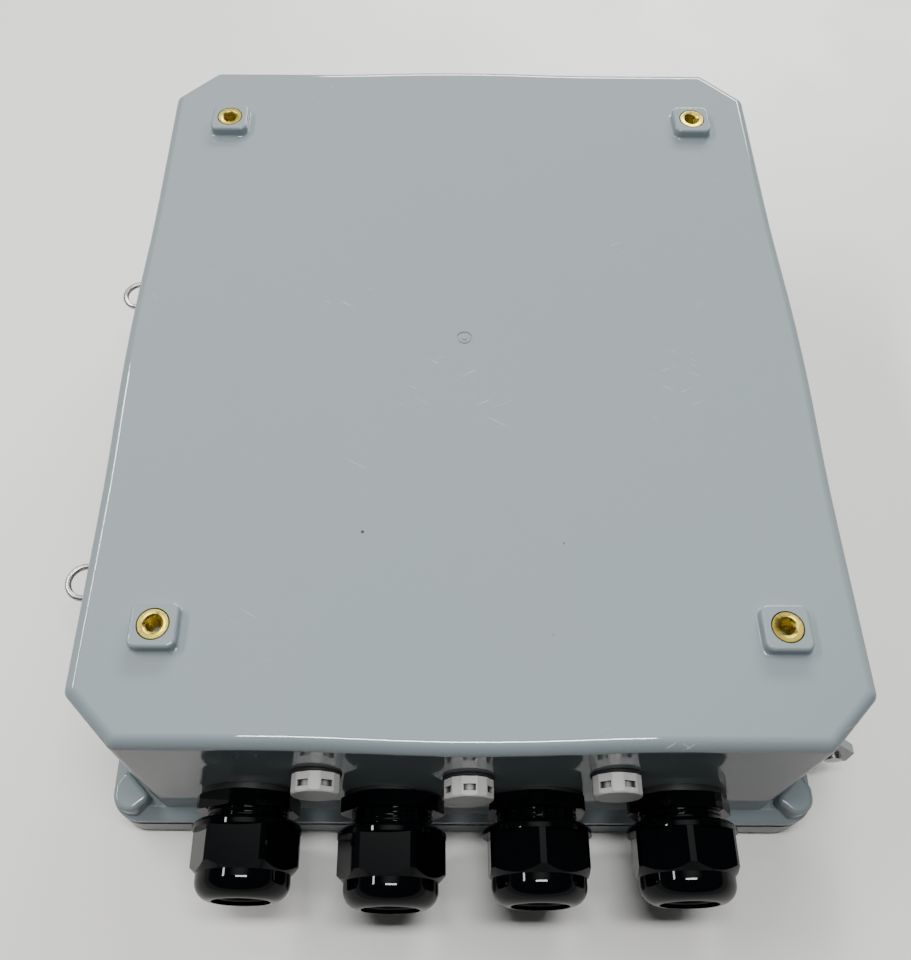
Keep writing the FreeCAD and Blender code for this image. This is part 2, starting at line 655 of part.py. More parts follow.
def latch_pivot():
    """A shouldered rivet through one base cheek and one lever cheek."""
    shank = rod("1.45", "4.6", "-pivot_x", "-13.8", "-pivot_deep", "y")
    outer = rod("2.8", "1", "-pivot_x", "-14.35", "-pivot_deep", "y")
    inner = rod("2.4", "0.65", "-pivot_x", "-9.8", "-pivot_deep", "y")
    return fuse(shank, outer, inner)


def latch_keeper():
    """The hook on the door's edge: a ledge with a turned-down lip."""
    plate = block(("-133.7", "-14", "-106.3"), ("-132.6", "14", "-96"))
    ledge = block(("-139.2", "-6", "-98.8"), ("-133.3", "6", "-97.7"))
    lip = block(("-139.2", "-6", "-100.2"), ("-138.1", "6", "-98"))
    holes = [rod("1.5", "6", "-130", f"{y}", "-101.5", "-x") for y in (-10.5, 10.5)]
    return cut(fuse(plate, ledge, lip), *holes)


def button_rivet(length, head):
    """A rivet along -X whose outer head starts at X = 0."""
    return fuse(rod("1.45", f"{length}", axis="x"), rod(head, "1", axis="-x"))


def make_latches():
    base, lever, bail, staple = latch_base(), latch_lever(), latch_bail(), wire_staple()
    keeper, pivot = latch_keeper(), latch_pivot()
    for name, y in latch_places():
        finish(again(base), f"latch_base_{name}", y=y)
        finish(again(lever), f"latch_lever_{name}", y=y)
        finish(again(bail), f"latch_bail_{name}", y=y)
        finish(again(staple), f"padlock_staple_{name}", y=y)
        finish(again(keeper), f"latch_keeper_{name}", y=y)
    far_pivot = again(pivot, "-2 * pivot_x", "0", "0", 180, Vector(0, 0, 1))
    pair = group(pivot, far_pivot)
    finish(group(*[again(pair, y=y) for name, y in latch_places()]), "latch_pivots")

    wall_rivet = fuse(button_rivet(5.4, "2.9"), rod("2.9", "1", "4.9", axis="x"))
    door_rivet = button_rivet(5.5, "2.6")
    wall_rivets, door_rivets = [], []
    for name, y in latch_places():
        wall_rivets += [again(wall_rivet, "-tub_wide / 2 - 1.7", f"{y} + {side}", f"-{deep}")
                        for side, deep in RIVETS]
        door_rivets += [again(door_rivet, "-133.7", f"{y} + {side}", "-101.5") for side in (-10.5, 10.5)]
    finish(group(*wall_rivets), "latch_rivets")
    finish(group(*door_rivets), "keeper_rivets")


# ---- inside ----------------------------------------------------------------------------------------

RAIL_SCREWS = [-90, -30, 30, 90]
BRACKET_SCREWS = [-72, 0, 72]
TRAY_SCREWS = [0, 90]


def pan_screw(shank, length, head, tall):
    """A pan-head screw whose head sits below Z = 0 and whose shank points up."""
    item = fuse(rod(shank, length), rod(head, tall, axis="-z"))
    low = -tall
    rounded = round_edges(item, tall * 0.45,
                          lambda edge: isinstance(edge.Curve, Part.Circle)
                          and abs(edge.Curve.Center.z - low) < 0.01)
    slot = block((-head * 0.7, -0.4, low - 1), (head * 0.7, 0.4, low + tall * 0.4))
    cross = block((-0.4, -head * 0.7, low - 1), (0.4, head * 0.7, low + tall * 0.4))
    return cut(rounded, slot, cross)


def make_plate():
    across, along = size("plate_wide") / 2, size("plate_long") / 2
    trim = 14
    corners = [Vector(-across + trim, -along, 0), Vector(across - trim, -along, 0),
               Vector(across, -along + trim, 0), Vector(across, along - trim, 0),
               Vector(across - trim, along, 0), Vector(-across + trim, along, 0),
               Vector(-across, along - trim, 0), Vector(-across, -along + trim, 0)]
    sheet_metal = sink(shape_of("PlateLoop", rounded_loop(corners, [3] * 8)), "plate_deep",
                       "plate_deep + plate_thick")
    low = "-plate_deep - plate_thick - 1"
    holes = [rod("2.7", "4", f"{sign_x} * post_x", f"{sign_y} * post_y", low) for sign_x, sign_y in CORNERS]
    holes += [rod("2", "4", f"{x}", "-101", low) for x in RAIL_SCREWS]
    holes += [rod("2", "4", f"{x}", "-53", low) for x in BRACKET_SCREWS]
    holes += [rod("2", "4", "tray_pin_x", f"{y}", low) for y in TRAY_SCREWS]
    finish(cut(sheet_metal, *holes), "mounting_plate")

    screw = pan_screw(1.95, 10, 4.6, 3)
    places = [again(screw, f"{sign_x} * post_x", f"{sign_y} * post_y", "-plate_deep - plate_thick")
              for sign_x, sign_y in CORNERS]
    finish(group(*places), "plate_screws")


def make_clamp_rail():
    """A Z-section rail that brings the cable saddles level with the glands."""
    top = "-plate_deep - plate_thick"
    section = [("-95", top), ("-95", f"{top} - bend_thick"), ("-108", f"{top} - bend_thick"),
               ("-108", "-rail_deep"), ("-124", "-rail_deep"), ("-124", "-rail_deep + bend_thick"),
               ("-109.5", "-rail_deep + bend_thick"), ("-109.5", top)]
    bar = slab("YZ_Plane", section, "-94", "188", "Rail")
    holes = [rod("2", "6", f"{x}", "-101", f"{top} - bend_thick - 2") for x in RAIL_SCREWS]
    for number, x in gland_places():
        holes += [rod("1.6", "6", f"{x} + {side}", "-117", "-rail_deep - 2") for side in (-12.4, 12.4)]
    finish(cut(bar, *holes), "cable_clamp_rail")

    screw = pan_screw(1.8, 4.5, 3.6, 2.4)
    rail_screws = [again(screw, f"{x}", "-101", f"{top} - bend_thick") for x in RAIL_SCREWS]
    finish(group(*rail_screws), "rail_screws")

    outer = fuse(rod("9.5", "10", y="-112", z="-rail_deep - 7.5", axis="-y"),
                 block(("-9.5", "-122", "-rail_deep - 7.5"), ("9.5", "-112", "-rail_deep")),
                 block(("-16", "-122", "-rail_deep - 2"), ("16", "-112", "-rail_deep")))
    saddle = cut(outer, rod("7.5", "14", y="-110", z="-rail_deep - 7.5", axis="-y"),
                 block(("-7.5", "-124", "-rail_deep - 7.5"), ("7.5", "-110", "-rail_deep")),
                 block(("-20", "-124", "-rail_deep"), ("20", "-110", "-rail_deep + 12")),
                 rod("1.6", "6", "-12.4", "-117", "-rail_deep - 4"),
                 rod("1.6", "6", "12.4", "-117", "-rail_deep - 4"))
    small_screw = pan_screw(1.45, 5, 2.8, 2)
    saddles, saddle_screws = [], []
    for number, x in gland_places():
        saddles.append(again(saddle, x))
        saddle_screws += [again(small_screw, f"{x} + {side}", "-117", "-rail_deep - 2")
                          for side in (-12.4, 12.4)]
    finish(group(*saddles), "cable_saddles")
    finish(group(*saddle_screws), "saddle_screws")


def adapter():
    """A duplex adapter, its ports one above the other, centred on the bracket's front face."""
    body = block(("-4.7", "-13.5", "-13.3"), ("4.7", "13.5", "13.3"))
    flange = block(("-6", "-1.6", "-17.5"), ("6", "0", "17.5"))
    pockets, sleeves = [], []
    for port in (-6.5, 6.5):
        for low, high in (("-15", "-1.2"), ("1.2", "15")):
            pockets.append(block(("-3.7", low, f"{port} - 4.7"), ("3.7", high, f"{port} + 4.7")))
        sleeves.append(rod("1.7", "16", y="-8", z=f"{port}", axis="y"))
    return fuse(cut(fuse(body, flange), *pockets), *sleeves)


def dust_cap():
    plug = block(("-3.5", "-13.3", "-4.5"), ("3.5", "-4.5", "4.5"))
    grip = block(("-2.2", "-20", "-3.2"), ("2.2", "-13", "3.2"))
    rim = block(("-4.3", "-14.8", "-5.6"), ("4.3", "-13.7", "5.6"))
    return cut(fuse(plug, grip, rim), rod("1.9", "10", y="-14", axis="y"))


def make_adapters():
    top = "-plate_deep - plate_thick"
    section = [("-46", top), ("-46", f"{top} - bend_thick"), ("-60.5", f"{top} - bend_thick"),
               ("-60.5", "-72"), ("-62", "-72"), ("-62", top)]
    bar = slab("YZ_Plane", section, "-86", "172", "Bracket")
    steps = [step - 2.5 for step in range(6)]
    holes = [block((f"{step} * adapter_pitch - 4.8", "-64", "-60"),
                   (f"{step} * adapter_pitch + 4.8", "-59", "-33")) for step in steps]
    holes += [rod("2", "6", f"{x}", "-53", f"{top} - bend_thick - 2") for x in BRACKET_SCREWS]
    finish(cut(bar, *holes), "adapter_bracket")

    screw = pan_screw(1.8, 4.5, 3.6, 2.4)
    finish(group(*[again(screw, f"{x}", "-53", f"{top} - bend_thick") for x in BRACKET_SCREWS]),
           "bracket_screws")
    duplex, cap = adapter(), dust_cap()
    adapters, caps = [], []
    for step in steps:
        x = f"{step} * adapter_pitch"
        adapters.append(again(duplex, x, "-62", "-46.5"))
        caps += [again(cap, x, "-62", f"-46.5 + {port}") for port in (-6.5, 6.5)]
    finish(group(*adapters), "fiber_adapters")
    finish(group(*caps), "adapter_dust_caps")


def make_tray():
    """The splice tray swings on a long pin down one side; its lid is a thin clear sheet."""
    top = "-plate_deep - plate_thick"
    strip = block(("33", "-34", f"{top} - sheet_thick"), ("44", "124", top))
    lugs = [block(("34.5", low, "-27.5"), ("42.5", high, top))
            for low, high in (("-34", "-32.8"), ("122.8", "124"))]
    holes = [rod("1.5", "170", "tray_pin_x", "-40", "-tray_pin_deep", "y")]
    holes += [rod("2", "6", "tray_pin_x", f"{y}", f"{top} - sheet_thick - 2") for y in TRAY_SCREWS]
    finish(cut(fuse(strip, *lugs), *holes), "tray_bracket")
    screw = pan_screw(1.8, 4.5, 3.4, 1.6)
    finish(group(*[again(screw, "tray_pin_x", f"{y}", f"{top} - sheet_thick") for y in TRAY_SCREWS]),
           "tray_screws")
    finish(again(rod("1.5", "162", axis="y")), "tray_hinge_pin", "tray_pin_x", "-36", "-tray_pin_deep")

    half, low_y, high_y = size("tray_half"), -size("tray_low_y"), size("tray_high_y")

    def tray_loop(inset):
        corners = [Vector(-half + inset, low_y + inset, 0), Vector(half - inset, low_y + inset, 0),
                   Vector(half - inset, high_y - inset, 0), Vector(-half + inset, high_y - inset, 0)]
        return rounded_loop(corners, [12 - inset] * 4)

    pan = cut(sink(shape_of("TrayOut", tray_loop(0)), "tray_top_deep", "tray_open_deep"),
              sink(shape_of("TrayIn", tray_loop(1.8)), "tray_top_deep + 1.5", "tray_open_deep + 1"))
    added, removed = [pan], []
    for y in (8, 82):
        added.append(cut(rod("20", "8.5", "0", f"{y}", "-tray_top_deep - 9"),
                         rod("18.4", "12", "0", f"{y}", "-tray_top_deep - 11")))
    for low in ("-31.5", "110"):
        added.append(rod("3.2", "11.5", "tray_pin_x", low, "-tray_pin_deep", "y"))
        added.append(block(("34", low, "-27"), ("tray_pin_x", f"{low} + 11.5", "-21")))
        removed.append(rod("1.6", "20", "tray_pin_x", f"{low} - 4", "-tray_pin_deep", "y"))
    finish(cut(fuse(*added), *removed), "splice_tray")

    comb_base = block(("-17", "36", "-27.5"), ("17", "54", "-tray_top_deep - 1.5"))
    slots = [block((f"{x} - 1.2", "34", "-29"), (f"{x} + 1.2", "56", "-22.5")) for x in range(-14, 15, 4)]
    finish(cut(comb_base, *slots), "splice_comb")

    lid = sink(shape_of("LidLoop", tray_loop(0)), "tray_open_deep + 0.1", "tray_open_deep + 1.5")
    finger_notch = rod("7", "10", "-tray_half", "45", "-36")
    finish(cut(lid, finger_notch), "tray_lid")


def make_fiber_clips():
    """Snap clips that hold slack fiber along both sides of the plate."""
    foot = block(("-6", "-4", "-2"), ("6", "4", "0"))
    loop = cut(rod("7", "6", y="-3", z="-8.2", axis="y"), rod("5.5", "8", y="-4", z="-8.2", axis="y"),
               block(("-2", "-5", "-20"), ("2", "5", "-8.2")))
    clip = fuse(foot, loop)
    places = [again(clip, f"{x}", f"{y}", "-plate_deep - plate_thick") for x in (-92, 92)
              for y in (-20, 45, 118)]
    finish(group(*places), "fiber_clips")


# ---- build and export ------------------------------------------------------------------------------

outer_block = sink(shape_of("TubLoop", tub_loop(0)), "0", "flange_deep", "TubBlock")
make_tub(outer_block)
make_inserts()
make_glands(outer_block)
make_vents(outer_block)
make_door()
make_hinge_pins()
make_latches()
make_plate()
make_clamp_rail()
make_adapters()
make_tray()
make_fiber_clips()
doc.recompute()

for item in doc.Objects:
    if "Invalid" in item.State or "Error" in item.State:
        raise RuntimeError(f"{item.Name} ({item.Label}) failed: {item.State}")
os.makedirs("parts", exist_ok=True)
for item in nodes:
    if item.Shape.isNull() or not item.Shape.isValid():
        raise RuntimeError(f"{item.Label} has no valid shape")
    item.Shape.exportStep(f"parts/{item.Label}.step")
    print(f"{item.Label}: {len(item.Shape.Solids)} solids, {item.Shape.Volume:.0f} mm3")
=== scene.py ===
"""Fiber termination box lying on its door: materials, fine pieces, light and camera."""
import bmesh
import bpy
import json
import math
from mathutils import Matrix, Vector


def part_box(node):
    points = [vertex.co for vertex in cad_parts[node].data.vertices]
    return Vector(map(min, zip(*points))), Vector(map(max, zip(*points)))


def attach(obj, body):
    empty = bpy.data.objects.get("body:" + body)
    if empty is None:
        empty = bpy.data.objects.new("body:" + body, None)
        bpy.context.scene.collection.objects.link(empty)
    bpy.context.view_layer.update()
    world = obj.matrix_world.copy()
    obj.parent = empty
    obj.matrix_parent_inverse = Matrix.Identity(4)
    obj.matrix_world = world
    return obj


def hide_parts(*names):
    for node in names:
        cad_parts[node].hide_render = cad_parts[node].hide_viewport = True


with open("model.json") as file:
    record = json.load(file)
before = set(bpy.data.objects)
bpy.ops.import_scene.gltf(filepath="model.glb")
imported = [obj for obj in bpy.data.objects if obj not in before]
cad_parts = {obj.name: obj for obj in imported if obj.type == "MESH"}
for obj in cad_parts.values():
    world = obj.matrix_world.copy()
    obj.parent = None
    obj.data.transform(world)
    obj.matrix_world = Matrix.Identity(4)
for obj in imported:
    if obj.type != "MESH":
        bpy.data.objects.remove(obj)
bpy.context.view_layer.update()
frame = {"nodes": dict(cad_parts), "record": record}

NODES = frame["nodes"]
MOUNTS = {mount["name"]: mount for mount in frame["record"]["mounts"]}
INSERTS = MOUNTS["wall_inserts"]["dims"]
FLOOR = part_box("door_panel")[0].z
MM = 0.001
CORNERS = [(-1, -1), (1, -1), (1, 1), (-1, 1)]
GAP_REACH = 2.2 * MM
# the room is dim, with one soft bright patch of ceiling that the flat back panel mirrors, and its far
# walls are pale low down
CEILING_WAY = Vector((0, 0.6, 0.8))
CEILING_EDGE = (0.80, 0.93)
WALL_FADE = (0.3, 0.1)
ROOM_DARK = (0.035, 0.035, 0.036, 1)
ROOM_BRIGHT = (1.2, 1.2, 1.2, 1)
ROOM_PALE = (0.42, 0.42, 0.415, 1)


# ---- shader helpers --------------------------------------------------------------------------------

class Shader:
    """A node material with short calls for the nodes that the finishes share."""

    def __init__(self, name, colour, roughness, **sockets):
        self.material = bpy.data.materials.new(name)
        self.material.use_nodes = True
        self.tree = self.material.node_tree
        self.surface = self.tree.nodes["Principled BSDF"]
        self.colour_socket = self.surface.inputs["Base Color"]
        self.colour_socket.default_value = (*colour, 1)
        self.surface.inputs["Roughness"].default_value = roughness
        for socket, value in sockets.items():
            self.surface.inputs[socket.replace("_", " ")].default_value = value
        self.normal = None
        self.place = self.node("ShaderNodeTexCoord").outputs["Object"]

    def node(self, kind, **settings):
        made = self.tree.nodes.new(kind)
        for key, value in settings.items():
            setattr(made, key, value)
        return made

    def link(self, source, target):
        self.tree.links.new(source, target)

    def cells(self, scale):
        """A Voronoi texture with its cells 1 / scale metres across."""
        texture = self.node("ShaderNodeTexVoronoi")
        texture.inputs["Scale"].default_value = scale
        self.link(self.place, texture.inputs["Vector"])
        return texture

    def stretch(self, scale, turn=0.0):
        """Object coordinates in metres, turned about Z and scaled differently along each axis."""
        turned = self.node("ShaderNodeMapping")
        turned.inputs["Rotation"].default_value = (0, 0, turn)
        self.link(self.place, turned.inputs["Vector"])
        mapping = self.node("ShaderNodeMapping")
        mapping.inputs["Scale"].default_value = scale
        self.link(turned.outputs["Vector"], mapping.inputs["Vector"])
        return mapping.outputs["Vector"]

    def noise(self, scale, detail=3.0, roughness=0.5, vector=None):
        texture = self.node("ShaderNodeTexNoise")
        texture.inputs["Scale"].default_value = scale
        texture.inputs["Detail"].default_value = detail
        texture.inputs["Roughness"].default_value = roughness
        self.link(vector or self.place, texture.inputs["Vector"])
        return texture.outputs["Fac"]

    def remap(self, value, low, high, out_low, out_high):
        node = self.node("ShaderNodeMapRange")
        numbers = {"From Min": low, "From Max": high, "To Min": out_low, "To Max": out_high}
        for socket, number in numbers.items():
            node.inputs[socket].default_value = number
        self.link(value, node.inputs["Value"])
        return node.outputs["Result"]

    def maths(self, operation, first, second):
        node = self.node("ShaderNodeMath", operation=operation)
        for socket, value in zip(node.inputs, (first, second)):
            if isinstance(value, (int, float)):
                socket.default_value = value
            else:
                self.link(value, socket)
        return node.outputs["Value"]

    def tint(self, amount, colour):
        """Mixes a second colour over the first by a 0 to 1 amount."""
        mix = self.node("ShaderNodeMix", data_type="RGBA")
        if self.colour_socket.is_linked:
            self.link(self.colour_socket.links[0].from_socket, mix.inputs[6])
        else:
            mix.inputs[6].default_value = self.colour_socket.default_value
        mix.inputs[7].default_value = (*colour, 1)
        self.link(amount, mix.inputs[0])
        self.link(mix.outputs[2], self.colour_socket)
        return self

    def vary_roughness(self, value, low, high):
        self.link(self.remap(value, 0.3, 0.7, low, high), self.surface.inputs["Roughness"])
        return self

    def bump(self, height, strength, distance):
        node = self.node("ShaderNodeBump")
        node.inputs["Strength"].default_value = strength
        node.inputs["Distance"].default_value = distance
        self.link(height, node.inputs["Height"])
        if self.normal:
            self.link(self.normal, node.inputs["Normal"])
        self.normal = node.outputs["Normal"]
        self.link(self.normal, self.surface.inputs["Normal"])
        return self


# ---- finishes --------------------------------------------------------------------------------------

def moulded_grey(name):
    """Glossy polycarbonate: faint flow mottling, dark specks, patches of light scuffs and orange peel."""
    finish = Shader(name, (0.250, 0.302, 0.322), 0.04, IOR=1.585)
    finish.tint(finish.remap(finish.noise(9, 4), 0.35, 0.7, 0.0, 0.3), (0.272, 0.312, 0.324))
    finish.tint(finish.remap(finish.noise(55, 5, 0.6), 0.55, 0.75, 0.0, 0.2), (0.244, 0.290, 0.309))
    spot = finish.remap(finish.cells(38).outputs["Distance"], 0.018, 0.03, 1.0, 0.0)
    rare = finish.remap(finish.noise(31, 1), 0.57, 0.59, 0.0, 1.0)
    finish.tint(finish.maths("MULTIPLY", spot, rare), (0.03, 0.03, 0.03))
    for turn, low in ((0.5, 0.72), (-0.45, 0.71)):
        hairs = finish.noise(1.0, 2, 0.5, finish.stretch((70, 1500, 300), turn))
        patch = finish.remap(finish.noise(17, 2), 0.58, 0.64, 0.0, 0.7)
        scuffs = finish.maths("MULTIPLY", finish.remap(hairs, low, low + 0.03, 0.0, 1.0), patch)
        finish.tint(scuffs, (0.55, 0.59, 0.60))
    finish.vary_roughness(finish.noise(14, 5, 0.6), 0.025, 0.055)
    finish.bump(finish.noise(420, 2), 0.03, 0.0002)
    return finish.material


def black_nylon(name):
    """Polished nylon with fine tool lines that run along the gland's axis."""
    finish = Shader(name, (0.0012, 0.0016, 0.0022), 0.12, IOR=1.33)
    finish.tint(finish.remap(finish.noise(160, 4), 0.5, 0.8, 0.0, 0.5), (0.0025, 0.003, 0.004))
    finish.vary_roughness(finish.noise(90, 5, 0.6), 0.02, 0.05)
    finish.bump(finish.noise(900, 3), 0.015, 0.0001)
    lines = finish.noise(1.0, 3, 0.6, finish.stretch((2600, 90, 2600)))
    finish.bump(lines, 0.02, 0.0001)
    return finish.material


def rubber(name, colour=(0.012, 0.012, 0.013)):
    finish = Shader(name, colour, 0.6, Specular_IOR_Level=0.35)
    finish.tint(finish.remap(finish.noise(240, 4), 0.45, 0.7, 0.0, 0.6), (0.022, 0.022, 0.023))
    finish.vary_roughness(finish.noise(120, 4), 0.5, 0.72)
    finish.bump(finish.noise(1300, 3), 0.15, 0.0002)
    return finish.material


def foam(name):
    finish = Shader(name, (0.02, 0.02, 0.021), 0.85, Specular_IOR_Level=0.2)
    cells = finish.cells(1400)
    finish.tint(finish.remap(cells.outputs["Distance"], 0.2, 0.6, 0.0, 0.7), (0.045, 0.045, 0.047))
    finish.bump(cells.outputs["Distance"], 0.5, 0.0003)
    return finish.material


def satin_plastic(name, colour, second, roughness=0.42, grain=1100, painted_gap_shade=None):
    """A moulded plastic with a fine spark-eroded grain, and if asked for, painted shade in its narrow
    gaps.
    """
    finish = Shader(name, colour, roughness, Specular_IOR_Level=0.5)
    finish.tint(finish.remap(finish.noise(70, 4), 0.4, 0.7, 0.0, 0.6), second)
    if painted_gap_shade:
        # painted shade: the colour darkens where ambient occlusion finds nearby surfaces, in gaps and
        # recesses such as the vent windows
        openness = finish.node("ShaderNodeAmbientOcclusion", samples=12)
        openness.inputs["Distance"].default_value = GAP_REACH
        finish.tint(finish.remap(openness.outputs["AO"], 0.35, 0.75, 1.0, 0.0), painted_gap_shade)
    finish.vary_roughness(finish.noise(200, 4), roughness - 0.07, roughness + 0.08)
    finish.bump(finish.noise(grain, 3), 0.10, 0.0002)
    return finish.material


def metal(name, colour, second, roughness, brushed=(60, 60, 2500), strength=0.12):
    """A drawn or rolled metal: fine lines along one axis, with a soft stain."""
    finish = Shader(name, colour, roughness, Metallic=1.0)
    lines = finish.noise(1.0, 4, 0.6, finish.stretch(brushed))
    finish.tint(finish.remap(finish.noise(45, 5, 0.6), 0.4, 0.75, 0.0, 0.7), second)
    finish.vary_roughness(lines, roughness - 0.1, roughness + 0.14)
    finish.bump(lines, strength, 0.0002)
    return finish.material


def spangled_zinc(name):
    finish = Shader(name, (0.62, 0.64, 0.66), 0.32, Metallic=1.0)
    grains = finish.cells(130)
    shade = finish.node("ShaderNodeSeparateColor")
    finish.link(grains.outputs["Color"], shade.inputs["Color"])
    finish.tint(finish.remap(shade.outputs["Red"], 0.0, 1.0, 0.0, 0.55), (0.47, 0.49, 0.52))
    finish.vary_roughness(shade.outputs["Green"], 0.24, 0.42)
    finish.bump(finish.noise(700, 3), 0.06, 0.0002)
    return finish.material


def clear_plastic(name):
    finish = Shader(name, (0.86, 0.90, 0.92), 0.12, Specular_IOR_Level=0.5, Alpha=0.34)
    finish.tint(finish.remap(finish.noise(25, 4), 0.4, 0.7, 0.0, 0.5), (0.78, 0.83, 0.86))
    finish.vary_roughness(finish.noise(60, 4), 0.06, 0.2)
    finish.bump(finish.noise(500, 2), 0.04, 0.0002)
    return finish.material


def make_finishes():
    return {
        "housing": moulded_grey("housing"),
        "gland_nylon": black_nylon("gland_nylon"),
        "seal_rubber": rubber("seal_rubber"),
        # the vent caps get painted shade darkening their window gaps
        "vent_plastic": satin_plastic("vent_plastic", (0.58, 0.58, 0.555), (0.52, 0.52, 0.50), 0.36,
                                      painted_gap_shade=(0.05, 0.05, 0.047)),
        "membrane": satin_plastic("membrane", (0.80, 0.80, 0.77), (0.70, 0.70, 0.68), 0.75, 2500),
        "brass": metal("brass", (0.62, 0.50, 0.10), (0.46, 0.35, 0.06), 0.30, (900, 900, 60), 0.08),
        "stainless": metal("stainless", (0.60, 0.59, 0.57), (0.50, 0.49, 0.47), 0.28),
        "zinc_steel": spangled_zinc("zinc_steel"),
        "plate_metal": metal("plate_metal", (0.72, 0.73, 0.74), (0.62, 0.63, 0.65), 0.36, (40, 1800, 40)),
        "gasket": foam("gasket"),
        "black_plastic": satin_plastic("black_plastic", (0.018, 0.018, 0.020), (0.03, 0.03, 0.032)),
        "adapter_blue": satin_plastic("adapter_blue", (0.012, 0.085, 0.36), (0.018, 0.11, 0.42), 0.3),
        "cap_clear": satin_plastic("cap_clear", (0.72, 0.73, 0.71), (0.62, 0.63, 0.61), 0.4),
        "tray_plastic": satin_plastic("tray_plastic", (0.045, 0.048, 0.052), (0.06, 0.063, 0.067)),
        "lid_clear": clear_plastic("lid_clear"),
        "comb_grey": rubber("comb_grey", (0.16, 0.165, 0.17)),
    }


def paint_nodes(finishes):
    """Gives each CAD node the finish of its material slot."""
    for part in frame["record"]["subparts"]:
        node = NODES[part["node"]]
        node.data.materials.clear()
        node.data.materials.append(finishes[part["material_slot"]])


# ---- mesh helpers ----------------------------------------------------------------------------------

def add_piece(name, points, faces, finish, body, slot):
    """A smooth-shaded mesh piece, with its hard edges kept, that moves with a CAD body."""
    mesh = bpy.data.meshes.new(name)
    mesh.from_pydata(points, [], faces)
    tidy = bmesh.new()
    tidy.from_mesh(mesh)
    bmesh.ops.recalc_face_normals(tidy, faces=tidy.faces)
    tidy.to_mesh(mesh)
    tidy.free()
    mesh.shade_smooth()
    mesh.set_sharp_from_angle(angle=math.radians(38))
    mesh.materials.append(finish)
    piece = bpy.data.objects.new(name, mesh)
    bpy.context.scene.collection.objects.link(piece)
    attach(piece, body)
    return piece


def woven_grid(rows):
    """Faces between rings of points: every ring is closed, and the last ring joins the first."""
    count = len(rows[0])
    points = [point for row in rows for point in row]
    faces = []
    for i in range(len(rows)):
        low, high = i * count, (i + 1) % len(rows) * count
        for j in range(count):
            k = (j + 1) % count
            faces.append((low + j, low + k, high + k, high + j))
    return points, faces


def ridge(phase):
    """A V-shaped thread or knurl: 0 at the root and 1 at the crest, once a phase."""
    return 1 - abs(2 * (phase % 1) - 1)


def revolved(centre, along, across, profile, shift, around=96):
    """Rings round an axis.  profile gives (radius, run) pairs, and shift moves a point in or out."""
    side = along.cross(across)
    rows = []
    for radius, run in profile:
        row = []
        for step in range(around):
            turn = step / around
            angle = math.tau * turn
            reach = radius + shift(radius, run, turn)
            spoke = across * math.cos(angle) + side * math.sin(angle)
            row.append(centre + spoke * reach + along * run)
        rows.append(row)
    return woven_grid(rows)


def stepped(start, end, count):
    return [start + (end - start) * i / count for i in range(count + 1)]


# ---- fine pieces -----------------------------------------------------------------------------------

def insert_places():
    half_x, half_y = INSERTS["spacing_x_mm"] / 2 * MM, INSERTS["spacing_y_mm"] / 2 * MM
    return [Vector((sign_x * half_x, sign_y * half_y, 0)) for sign_x, sign_y in CORNERS]


def make_inserts(finishes):
    """Four brass nuts with a knurled rim, a countersunk mouth and an M6 thread down the bore."""
    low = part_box("brass_inserts")[0]
    rim, deep = insert_places()[0].x - low.x, low.z
    bore, mouth = INSERTS["hole_r_mm"] * MM, 3.3 * MM
    pitch, depth = 1.0 * MM, 0.34 * MM
    outside = [(rim, deep), (rim, -0.25 * MM), (rim - 0.25 * MM, 0), (mouth + 0.25 * MM, 0)]
    inside = [(mouth, -0.12 * MM)] + [(bore, run) for run in stepped(-0.75 * MM, deep, 80)]

    def shift(radius, run, turn):
        if radius == bore:
            fade = min(1, (run - deep) / pitch)
            return -depth * fade * ridge(run / pitch - turn) + depth * 0.5 * fade
        return -0.14 * MM * ridge(turn * 40) if radius == rim else 0

    for number, centre in enumerate(insert_places(), start=1):
        grid = revolved(centre, Vector((0, 0, 1)), Vector((1, 0, 0)), outside + inside, shift, 120)
        add_piece(f"insert_{number}", *grid, finishes["brass"], "tub", "brass")
    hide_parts("brass_inserts")


def gland_axis(number):
    low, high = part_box(f"gland_body_{number}")
    return (low.x + high.x) / 2, (low.z + high.z) / 2, low.y


def make_gland_threads(finishes):
    """The thread of each gland's neck, which shows between the body's hexagon and the nut."""
    root, crest, pitch = 13.9 * MM, 14.2 * MM, 1.5 * MM
    start, end = 7.2 * MM, 20.2 * MM
    outer = [(root, run) for run in stepped(start, end, 78)]
    profile = [(root - 0.4 * MM, end), (root - 0.4 * MM, start)] + outer

    def shift(radius, run, turn):
        return (crest - root) * ridge(run / pitch - turn) if radius == root else 0

    for number in range(1, 5):
        x, z, end_y = gland_axis(number)
        grid = revolved(Vector((x, end_y, z)), Vector((0, 1, 0)), Vector((1, 0, 0)), profile, shift)
        add_piece(f"gland_thread_{number}", *grid, finishes["gland_nylon"], "tub", "gland_nylon")


def make_seal_lips(finishes):
    """The rings moulded into the face and mouth of each rubber seal."""
    for number in range(1, 5):
        x, z, _ = gland_axis(number)
        face_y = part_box(f"gland_seal_{number}")[0].y
        face = [(9.3, 0.5), (9.3, 0), (8.9, -0.25), (8.5, 0), (8.1, 0), (7.7, -0.25), (7.3, 0), (6.9, 0)]
        mouth = [(6.35, 0.9), (6.35, 1.7), (6.05, 2.1), (6.05, 2.5), (6.35, 2.9), (6.35, 3.7),
                 (6.05, 4.1), (6.05, 4.5), (6.35, 4.9), (6.7, 5.2), (6.9, 1.6)]
        profile = [(radius * MM, run * MM) for radius, run in face + mouth]
        grid = revolved(Vector((x, face_y, z)), Vector((0, 1, 0)), Vector((1, 0, 0)), profile,
                        lambda radius, run, turn: 0)
        add_piece(f"seal_lips_{number}", *grid, finishes["seal_rubber"], f"seal_{number}", "seal_rubber")


